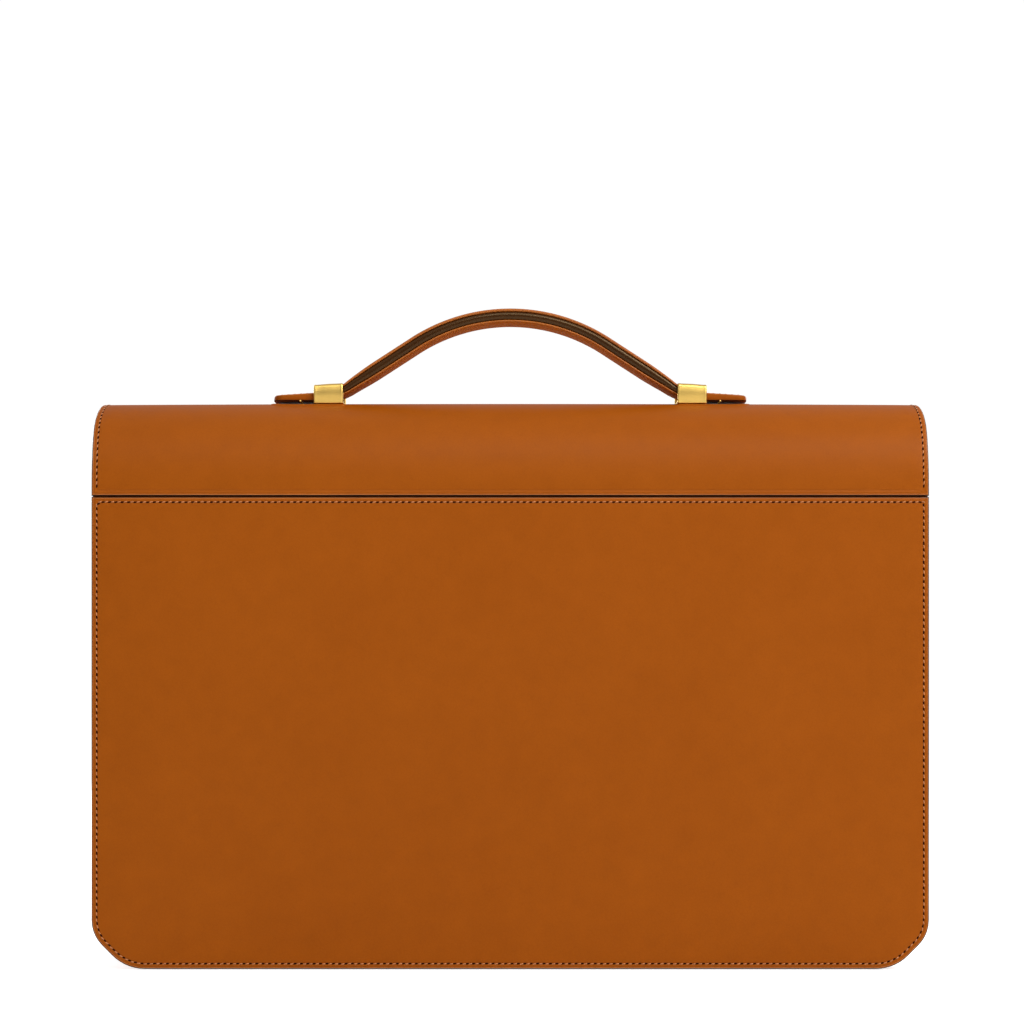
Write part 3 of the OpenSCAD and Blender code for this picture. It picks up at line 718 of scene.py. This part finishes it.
def soft_bar(name, lo, hi, mat, body, node, slot, r=0.5, seg=3, cuts=24):
    """A long box with rounded edges."""
    bm = bmesh.new()
    bmesh.ops.create_cube(bm, size=1.0)
    for v in bm.verts:
        v.co = Vector([(lo[k] + hi[k]) / 2 + v.co[k] * (hi[k] - lo[k]) for k in range(3)])
    long = [e for e in bm.edges if abs(e.verts[0].co.x - e.verts[1].co.x) > 1]
    bmesh.ops.subdivide_edges(bm, edges=long, cuts=cuts, use_grid_fill=False)
    sharp = [e for e in bm.edges if len(e.link_faces) == 2 and e.calc_face_angle(0) > 0.5]
    bmesh.ops.bevel(bm, geom=sharp, offset=r, segments=seg, affect="EDGES", profile=0.5)
    bm.verts.index_update()
    v = [x.co[:] for x in bm.verts]
    f = [[x.index for x in p.verts] for p in bm.faces]
    bm.free()
    return make(name, v, f, [mat], body=body, stands=[node] if node else (), slot=slot)


soft_bar("base_lining_skin", *cad("base_lining"), SUEDE, "case", "base_lining", "suede_lining", r=0.25)
B_LO, B_HI = cad("divider_binding")
D_LO, D_HI = cad("divider")


def binding_place(x, z, n):
    return np.stack([x, np.full(len(x), B_HI[1]) + n, z], 1)


over = [(0.9, 0), (0.3, 0.25), (0, 0.9)]  # how the tape's upper corners are rounded
fold_over = [(B_LO[1], B_LO[2])] + [(B_LO[1] + y, B_HI[2] - z) for y, z in over[::-1]]
fold_over += [(B_HI[1] - y, B_HI[2] - z) for y, z in over] + [(B_HI[1], B_LO[2])]
fold_over += [(D_HI[1] + 0.03, B_LO[2]), (D_HI[1] + 0.03, D_HI[2] + 0.03)]
fold_over += [(D_LO[1] - 0.03, D_HI[2] + 0.03), (D_LO[1] - 0.03, B_LO[2])]
tape_x, tape_n = spaced(B_LO[0], B_HI[0], 41), len(fold_over)
make("binding_tape", [[x, y, z] for x in tape_x for y, z in fold_over],
     tube(len(tape_x), tape_n) + ends(len(tape_x), tape_n), [TAN_DULL], body="case",
     stands=["divider_binding"], slot="case_leather", smooth=False)
seam = np.array([[B_LO[0] + 3, B_LO[2] + 2.0], [B_HI[0] - 3, B_LO[2] + 2.0]])
sew("binding_seam", [(seam, False, 0)], binding_place, "case", level=-0.02)

# ---- handle ----
H_R, H_SLOPE, H_TOP = 86.0, math.radians(34), 315.7
H_CZ = H_TOP - H_R
H_Y = MID_Y
STRAP_W, STRAP_H = 12.5, 3.2  # half the strap's width, half its thickness


def handle_path():
    """Half of the handle's middle line, from the centre out: an arc, a straight and a bend into the loop."""
    pts = [(H_R * math.sin(a), H_CZ + H_R * math.cos(a)) for a in spaced(0, H_SLOPE, 26)]
    x0, z0 = pts[-1]
    m = math.tan(H_SLOPE) * 0.96
    for x in spaced(x0, 77.5, 14)[1:]:
        pts.append((x, z0 - (x - x0) * m))
    x1, z1 = pts[-1]
    for k in spaced(0, 1, 12)[1:]:
        x = x1 + 10 * k
        pts.append((x, z1 - m * (10 * k - 10 * k * k / 2) * 1.12))
    return np.array(pts)


# share is the strap's thickness along the line, drop how far it sags towards the loops
half = handle_path()
line = np.concatenate([np.stack([-half[::-1, 0], half[::-1, 1]], 1), half[1:]])
share = 1 - 0.30 * np.clip((np.abs(line[:, 0]) - 66) / 15, 0, 1) ** 1.4
tang = np.gradient(line, axis=0)
tang /= np.linalg.norm(tang, axis=1)[:, None]
norm = np.stack([-tang[:, 1], tang[:, 0]], 1)
drop = 0.35 * np.clip((np.abs(line[:, 0]) - 76) / 8, 0, 1)


def press(o):
    """Gives a piece of the handle a mesh of its own."""
    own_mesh(o)


def sweep(name, section, mats_of, mats, stands, slot):
    """Sweeps a closed section of (y, height) along the handle's line."""
    n, m = len(section), len(line)
    v = [(line[i, 0] + norm[i, 0] * h * share[i], H_Y + y, line[i, 1] - drop[i] + norm[i, 1] * h * share[i])
         for i in range(m) for y, h in section]
    o = make(name, v, tube(m, n) + ends(m, n), mats, mats_of * (m - 1) + [0, 0], body="flap", stands=stands,
             slot=slot)
    press(o)
    return o


def strap_section(lo, hi, r, crown=0.0):
    """A strap's section and its materials: flat faces, rounded and burnished edges, a crease near each edge.
    """
    w, t = STRAP_W, hi - lo
    ys = [w - r * 1.2, w - 1.0, w - 1.25, w - 1.5, w - 2.0, w - 2.4, w - 2.8, w * 0.6, w * 0.3]
    dz = [0, 0, -0.1, 0, 0, -0.2, 0, 0, 0]
    ys, dz = [-y for y in ys] + [0] + ys[::-1], dz + [0] + dz[::-1]
    top = [(y, hi + d + crown * (1 - (y / w) ** 2)) for y, d in zip(ys, dz)]
    right = [(w - r * 0.4, hi - t * 0.12), (w, hi - t * 0.35)]
    right += [(w, lo + t * 0.35), (w - r * 0.4, lo + t * 0.1)]
    s = top + right + [(w - r * 1.2, lo), (0, lo), (-w + r * 1.2, lo)] + [(-y, h) for y, h in right[::-1]]
    return s, [2 if abs(p[0]) > w - r and abs(q[0]) > w - r else 0 for p, q in zip(s, s[1:] + s[:1])]


def core_section():
    """The padded core's section: flat above and below, bulging at the sides."""
    lo, hi = -STRAP_H + 0.80, STRAP_H - 1.36
    turn = math.radians(80)
    side = [(10.9 + 1.75 * math.cos(t) ** 0.75, (hi + lo) / 2 + (hi - lo) / 2 * math.sin(t) / math.sin(turn))
            for t in (math.radians(a) for a in spaced(-80, 80, 13))]
    return side + [(0, hi)] + [(-y, h) for y, h in side[::-1]] + [(0, lo)]


sweep("handle_cover_strap", *strap_section(STRAP_H - 1.4, STRAP_H, 0.5, 0.15), [TAN, EDGE, BEVEL],
      ["left_handle_cover", "right_handle_cover"], "case_leather")
sweep("handle_under_strap", *strap_section(-STRAP_H, -STRAP_H + 0.85, 0.3), [UNDERSIDE_PAINTED_LIGHT, EDGE, BEVEL],
      ["left_handle_lining", "right_handle_lining"], "case_leather")
core = core_section()
padding = sweep("handle_padding", core, [0] * len(core), [CORE], ["left_handle_core", "right_handle_core"],
                "core_leather")

arc = np.concatenate([[0], np.cumsum(np.linalg.norm(np.diff(line, axis=0), axis=1))])
A0 = arc[-1] / 2


def handle_place(s, y, n):
    """Places points on the cover strap: along the handle, across it and n above its top."""
    at = s + A0
    x, z = np.interp(at, arc, line[:, 0]), np.interp(at, arc, line[:, 1])
    nx, nz = np.interp(at, arc, norm[:, 0]), np.interp(at, arc, norm[:, 1])
    k, dr = np.interp(at, arc, share), np.interp(at, arc, drop)
    h = STRAP_H * k + n + 0.15 * (1 - (y / STRAP_W) ** 2) * k
    return np.stack([x + nx * h, H_Y + y, z - dr + nz * h], 1)


reach = A0 - 11
for o in sew("handle_seam", [(np.array([[-reach, e], [reach, e]]), False, 0) for e in (-10.1, 10.1)],
             handle_place, "flap", level=-0.26, pitch=3.0, out=0):
    press(o)

# ---- tails ----
L_LO, L_HI = cad("right_handle_loop")
T_LO, T_HI = cad("right_handle_tail")


def pin(side, body):
    """A brass cross pin near a tail's lower edge, domed at both ends."""
    half_prof = [(12.5, 0.55), (12.7, 0.45), (12.82, 0.25)]
    x, z, tip = side * 102.2, T_LO[2] - 0.9, 12.85
    a = np.radians(np.arange(0, 360, 30))
    v = [(x, H_Y - tip, z)]
    for y, r in [(-y, r) for y, r in half_prof[::-1]] + half_prof:
        v += [(x + r * math.cos(t), H_Y + y, z + r * math.sin(t)) for t in a]
    v.append((x, H_Y + tip, z))
    n, m = len(a), 2 * len(half_prof)
    last = 1 + (m - 1) * n
    faces = [[0, 1 + (j + 1) % n, 1 + j] for j in range(n)]
    faces += [[1 + k for k in f] for f in tube(m, n)]
    faces += [[len(v) - 1, last + j, last + (j + 1) % n] for j in range(n)]
    make(body + "_pin", v, faces, [BRASS], body=body, slot="brass")


pin(-1, "left_tail")
pin(1, "right_tail")


def tail_top(x, x1):
    """A tail's top: gently falling, then rolled over at its tip."""
    return 277.85 - 0.065 * (x - 95.6) - 0.7 * np.clip((x - (x1 - 1.6)) / 1.6, 0, 1) ** 2


def tail(side, body, node):
    """A tapering tongue with a rounded tip, painted edges and a dark underside edge."""
    x0, x1, low, corner = 88.0, T_HI[0], T_LO[2] - 0.8, 5.0
    bend_x = x1 - corner
    round_x = bend_x + corner * np.sin(np.radians(spaced(0, 90, 9)[1:]))
    stations = np.concatenate([spaced(x0, bend_x, 8), round_x])
    v = []
    for x in stations:
        top, w = float(tail_top(x, x1)), STRAP_W
        if x > bend_x:
            w += corner * math.sqrt(max(0, 1 - ((x - bend_x) / corner) ** 2)) - corner
        upper = [(w - 1.7, top), (w - 1.5, top - 0.1), (w - 1.3, top), (w - 0.6, top)]
        side_r = [(w - 0.1, top - 0.2), (w, top - 0.45)]
        side_r += [(w, low + 0.4), (w - 0.25, low + 0.12), (w - 0.8, low)]
        section = ([(-y, z) for y, z in upper[::-1]] + [(0, top + 0.1)] + upper + side_r
                   + [(-y, z) for y, z in side_r[::-1]])
        v += [(side * x, H_Y + y, z) for y, z in section]
    m, n = len(stations), len(section)
    row = [2 if j in (8, 9, 17, 18) else 1 if j in (11, 12, 14, 15) else 0 for j in range(n)]
    make(node + "_skin", v, tube(m, n) + ends(m, n), [TAN, EDGE, BEVEL], row * (m - 1) + [0, 2], body=body,
         stands=[node], slot="case_leather")

    def place(x, y, n):
        return np.stack([side * x, H_Y + y, tail_top(x, x1) + n], 1)
    edge = 2.4
    a = np.radians(spaced(0, 90, 7))
    path = [(97.5, STRAP_W - edge)]
    r = corner - edge
    path += [(bend_x + r * math.sin(t), STRAP_W - corner + r * math.cos(t)) for t in a]
    path += [(x, -y) for x, y in path[::-1]]
    sew(node + "_seam", [(np.array(path), False, 0)], place, body, level=-0.12, pitch=3.0, out=0)


tail(-1, "left_tail", "left_handle_tail")
tail(1, "right_tail", "right_handle_tail")


# ---- brass loops: box rings with a soft barrel face, bevelled ends and a top that falls outwards ----
def brass_loop(side, node):
    """A cast box ring round the strap."""
    x0, z0, ln = L_LO[0], L_LO[2], L_HI[0] - L_LO[0]
    wd, ht = (L_HI[1] - L_LO[1]) / 2, L_HI[2] - L_LO[2]
    cy = (L_LO[1] + L_HI[1]) / 2

    def ring(w2, zlo, zhi, r, bulge):
        """One ring of (y, z): round upper corners, small lower ones, and sides that bulge."""
        f = 0.45
        top, foot = zhi - r, zlo + f
        side_z = spaced(top, foot, 6)[1:-1]
        belly = [bulge * (1 - (2 * (z - foot) / (top - foot) - 1) ** 2) for z in side_z]
        out = []
        for cx, cz, a0, q in ((w2 - r, top, 0, r), (-w2 + r, top, 90, r),
                              (-w2 + f, foot, 180, f), (w2 - f, foot, 270, f)):
            out += [(cx + q * math.cos(a), cz + q * math.sin(a)) for a in np.radians(spaced(a0, a0 + 90, 6))]
            if a0 == 90:
                out += [(-w2 - k, z) for k, z in zip(belly, side_z)]
        return out + [(w2 + k, z) for k, z in zip(belly[::-1], side_z[::-1])]

    # each ring's share of the loop's length, and how far it is drawn in; then the rings of the bore
    outer = [(0.0, 0.42), (0.012, 0.22), (0.035, 0.06), (0.06, 0.0), (0.085, 0.07), (0.12, 0.10), (0.3, 0.02),
             (0.5, -0.04), (0.7, 0.02), (0.88, 0.10), (0.915, 0.07), (0.94, 0.0), (0.965, 0.06),
             (0.988, 0.22), (1.0, 0.42)]
    bore = [(1.0, 0.85), (0.985, 1.12), (0.95, 1.2), (0.05, 1.2), (0.015, 1.12), (0.0, 0.85)]
    v = []
    for k, (u, e) in enumerate(outer + bore):
        inner = k >= len(outer)
        low = z0 - 1.0 + (1.8 * min(1, e / 1.2) if inner else max(0, min(e, 0.2)) * 0.4)
        points = ring(wd - e, low, z0 + ht + 0.25 - e, max(0.6, 1.7 - e * 0.7), 0 if inner else 0.45)
        v += [(side * (x0 + u * ln), cy + y, z - 0.85 * u * max(0, (z - z0) / ht)) for y, z in points]
    make(node + "_cast", v, tube(len(outer + bore), len(points), around=True), [BRASS], body="flap",
         stands=[node], slot="brass")


brass_loop(-1, "left_handle_loop")
brass_loop(1, "right_handle_loop")


# ---- base patches: thin moulded seats under the loops ----
def patch(side, node):
    """A thin seat with a creased, rounded edge."""
    lo, hi = cad("right_base_patch")
    lo[0], hi[0] = lo[0] + 1.2, hi[0] - 2.6
    ln, wd = hi[0] - lo[0], (hi[1] - lo[1]) / 2
    cx, cy, r = (lo[0] + hi[0]) / 2, (lo[1] + hi[1]) / 2, 4.0

    def ring(e):
        return np.array([(cx + sx * (ln / 2 - r) + (r - e) * math.cos(a),
                          cy + sy * (wd - r) + (r - e) * math.sin(a))
                         for sx, sy, a0 in ((1, 1, 0), (-1, 1, 90), (-1, -1, 180), (1, -1, 270))
                         for a in np.radians(spaced(a0, a0 + 90, 6))])

    def face(x, y):
        """Height of the patch's face: it follows the flap's crowned roll."""
        return roll_top(y) + CROWN * (1 - (x / W) ** 2) + 0.5

    # how far each ring is drawn in, and its height over the patch's face; the last lies inside the flap
    rings = [(1.6, 0.0), (1.35, -0.03), (1.2, -0.12), (1.05, -0.06), (0.7, -0.12), (0.3, -0.25),
             (0.05, -0.45), (0.0, -1.0)]
    v = []
    for e, h in rings:
        p = ring(e)
        v += [(side * x, y, z) for (x, y), z in zip(p, face(p[:, 0], p[:, 1]) + h)]
    m, n, middle = len(rings), len(p), len(v)
    v.append((side * cx, cy, float(face(cx, cy))))
    faces = tube(m, n) + [[j, (j + 1) % n, middle] for j in range(n)] + ends(m, n)[1:]
    make(node + "_skin", v, faces, [TAN], body="flap", stands=[node], slot="case_leather", smooth=False)


patch(-1, "left_base_patch")
patch(1, "right_base_patch")


# ---- inside the flap: a stitched cover over the handle's stay and nuts ----
ST_HI = cad("handle_stay")[1]
NUT_Z = cad("loop_nuts")[0][2]


def ceiling(y):
    """The lining's underside above the bag's middle."""
    return roll_top(y, FLAP_T + LINING_T)


def steps(half, near, inner, n):
    """Grid lines from -half to half: closer at both ends, n even ones between."""
    near = np.array(near)
    middle = spaced(-half + inner, half - inner, n)
    return np.concatenate([[-half], -half + near, middle, half - near[::-1], [half]])


COVER_X, COVER_Y, COVER_T = ST_HI[0] + 9, 18.0, 1.05  # half its length, half its width, its edge's thickness
SEAM_IN = 3.0
cover_x, cover_y = np.meshgrid(steps(COVER_X, [0.25, 1.0, 2.2, 3.0, 3.8, 7.0, 11.0], 16, 41),
                               steps(COVER_Y, [0.25, 1.0, 2.2, 3.0, 3.8, 5.5], 7, 13))
inner = np.minimum(COVER_X - np.abs(cover_x), COVER_Y - np.abs(cover_y))
rise = np.clip((inner - 4.2) / 4.0, 0, 1)
rise = rise * rise * (3 - 2 * rise)
groove = 0.25 * np.exp(-((inner - SEAM_IN) / 0.45) ** 2)
edge = COVER_T * np.clip(inner / 0.25, 0, 1) ** 0.5
cz = ceiling(MID_Y + cover_y)
low_z = (cz - edge + groove) * (1 - rise) + np.minimum(cz - 1.2, NUT_Z - 1.1) * rise
top_z = np.maximum((cz + 0.15) * (1 - rise) + (NUT_Z - 0.15) * rise, low_z + 0.1)
cover_v = [np.stack([cover_x.ravel(), MID_Y + cover_y.ravel(), z.ravel()], 1) for z in (low_z, top_z)]
flat, rim = sheet(*cover_x.shape)
make("stay_cover", np.concatenate(cover_v), flat + rim, [TAN_DULL], body="flap", slot="case_leather")


def cover_place(x, y, n):
    return np.stack([x, MID_Y + y, ceiling(MID_Y + y) - COVER_T - n], 1)


sx, sy = COVER_X - SEAM_IN, COVER_Y - SEAM_IN
corners = np.array([[-sx, -sy], [sx, -sy], [sx, sy], [-sx, sy]])
sew("stay_cover_seam", [(corners, True, 0)], cover_place, "flap", level=-0.2, out=0)

# ---- metal fittings: the CAD shapes with softened edges ----

def softened(node, body, width):
    """Replaces a CAD fitting with a copy of its mesh that has its edges rounded."""
    src = frame["nodes"][node]
    bm = bmesh.new()
    bm.from_mesh(src.data)
    bmesh.ops.remove_doubles(bm, verts=bm.verts, dist=2e-6)
    bmesh.ops.dissolve_limit(bm, angle_limit=math.radians(1.5), verts=bm.verts, edges=bm.edges)
    me = bpy.data.meshes.new(node + "_soft")
    bm.to_mesh(me)
    bm.free()
    me.materials.append(BRASS)
    me.polygons.foreach_set("use_smooth", np.full(len(me.polygons), True))
    me.set_sharp_from_angle(angle=math.radians(35))
    o = bpy.data.objects.new(node + "_soft", me)
    scene.collection.objects.link(o)
    b = o.modifiers.new("edge", "BEVEL")
    b.width, b.segments, b.limit_method, b.angle_limit = width * MM, 3, "ANGLE", math.radians(50)
    b.use_clamp_overlap, b.harden_normals = True, True
    bpy.context.view_layer.update()
    deps = bpy.context.evaluated_depsgraph_get()
    done = bpy.data.meshes.new_from_object(o.evaluated_get(deps))
    o.modifiers.clear()
    o.data = done
    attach(o, body)
    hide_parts(node)


for node, body, width in (("lock_knob", "turn_knob", 0.7), ("lock_eyelet_front", "flap", 0.3),
                          ("lock_base_plate", "case", 0.25), ("lock_base_rivets", "case", 0.12),
                          ("lock_eyelet_screws", "flap", 0.15),
                          ("left_stop_stud", "left_tail", 0.2), ("right_stop_stud", "right_tail", 0.2)):
    softened(node, body, width)

# dark bars on the eyelet's screw heads stand for their slots; their near-black is painted shade
S_LO, S_HI = cad("lock_eyelet_screws")
for k, z in enumerate((S_LO[2] + 1.8, S_HI[2] - 1.8)):
    soft_bar("screw_slot_%d" % k, (-1.25, S_HI[1] - 0.25, z - 0.2), (1.25, S_HI[1] + 0.012, z + 0.2), HOLE_SHADE,
             "flap", None, "brass", r=0.05, seg=2, cuts=3)
paint(STEEL, "lock_backing_plate", "lock_spindle", "lock_washer", "lock_eyelet_back", "handle_stay",
      "loop_screws", "loop_nuts")

# ---- stage: a floor and a room that the camera sees as white, and a dimmer studio for the bag ----
bm = bmesh.new()
bmesh.ops.create_grid(bm, x_segments=2, y_segments=2, size=9.0)
me = bpy.data.meshes.new("floor")
bm.to_mesh(me)
bm.free()
floor = bpy.data.objects.new("floor", me)
floor.location = (0, 0, -0.0004)
scene.collection.objects.link(floor)
fm, ft, fp = nodes_of("floor")
fp.inputs["Base Color"].default_value = (0.80, 0.80, 0.80, 1)
fp.inputs["Roughness"].default_value = 0.9
fp.inputs["Specular IOR Level"].default_value = 0.1
fp.inputs["Emission Color"].default_value = (1, 1, 1, 1)
seen = add(ft, "ShaderNodeMath", operation="MULTIPLY")
ft.links.new(ft.nodes.new("ShaderNodeLightPath").outputs["Is Camera Ray"], seen.inputs[0])
seen.inputs[1].default_value = 0.66
ft.links.new(seen.outputs[0], fp.inputs["Emission Strength"])
me.materials.append(fm)

world = bpy.data.worlds.new("world")
scene.world = world
world.use_nodes = True
wt = world.node_tree
bg = wt.nodes["Background"]
tc = wt.nodes.new("ShaderNodeTexCoord").outputs["Generated"]
sep = wt.nodes.new("ShaderNodeSeparateXYZ")
wt.links.new(tc, sep.inputs[0])
low = ramp(wt, sep.outputs["Y"], [(0.0, (0.16, 0.16, 0.16)), (0.25, (0.36, 0.36, 0.36))])
high = ramp(wt, sep.outputs["Z"], [(0.25, (0, 0, 0)), (0.75, (1, 1, 1))])
room = mix(wt, low, (0.6, 0.6, 0.61), high)
path = wt.nodes.new("ShaderNodeLightPath").outputs["Is Camera Ray"]
wt.links.new(mix(wt, room, (1.02, 1.02, 1.02), path), bg.inputs["Color"])
bg.inputs["Strength"].default_value = 1.0


def softbox(name, at, to, size, power, tint=(1, 1, 1)):
    """A rectangular light at one point, aimed at another."""
    d = bpy.data.lights.new(name, "AREA")
    d.shape, d.size, d.size_y, d.energy, d.color = "RECTANGLE", size[0], size[1], power, tint
    o = bpy.data.objects.new(name, d)
    scene.collection.objects.link(o)
    o.location = at
    o.rotation_euler = (Vector(to) - Vector(at)).to_track_quat("-Z", "Y").to_euler()
    return o


softbox("key", (1.40, -1.12, 1.42), (0.1, 0, 0.15), (0.8, 0.8), 20, (1, 0.99, 0.97))
softbox("strip", (0.75, -1.30, 1.52), (0.1, 0, 0.2), (2.2, 0.32), 17.5, (1, 0.99, 0.97))
softbox("fill", (-1.7, -1.3, 1.1), (0, 0, 0.12), (0.9, 0.9), 2)
card = softbox("metal_card", (0.35, -2.3, 0.22), (0, 0, 0.26), (5.0, 0.7), 8.0, (1, 0.97, 0.9))
metal = bpy.data.collections.new("metal_lit")
for o in bpy.data.objects:
    if o.type == "MESH" and any(s.material == BRASS for s in o.material_slots):
        metal.objects.link(o)
card.light_linking.receiver_collection = metal
softbox("rim_left", (-1.3, 1.9, 0.75), (0, 0, 0.15), (1.1, 0.6), 24)
softbox("rim_right", (1.5, 1.5, 0.65), (0, 0, 0.12), (0.9, 0.6), 14)
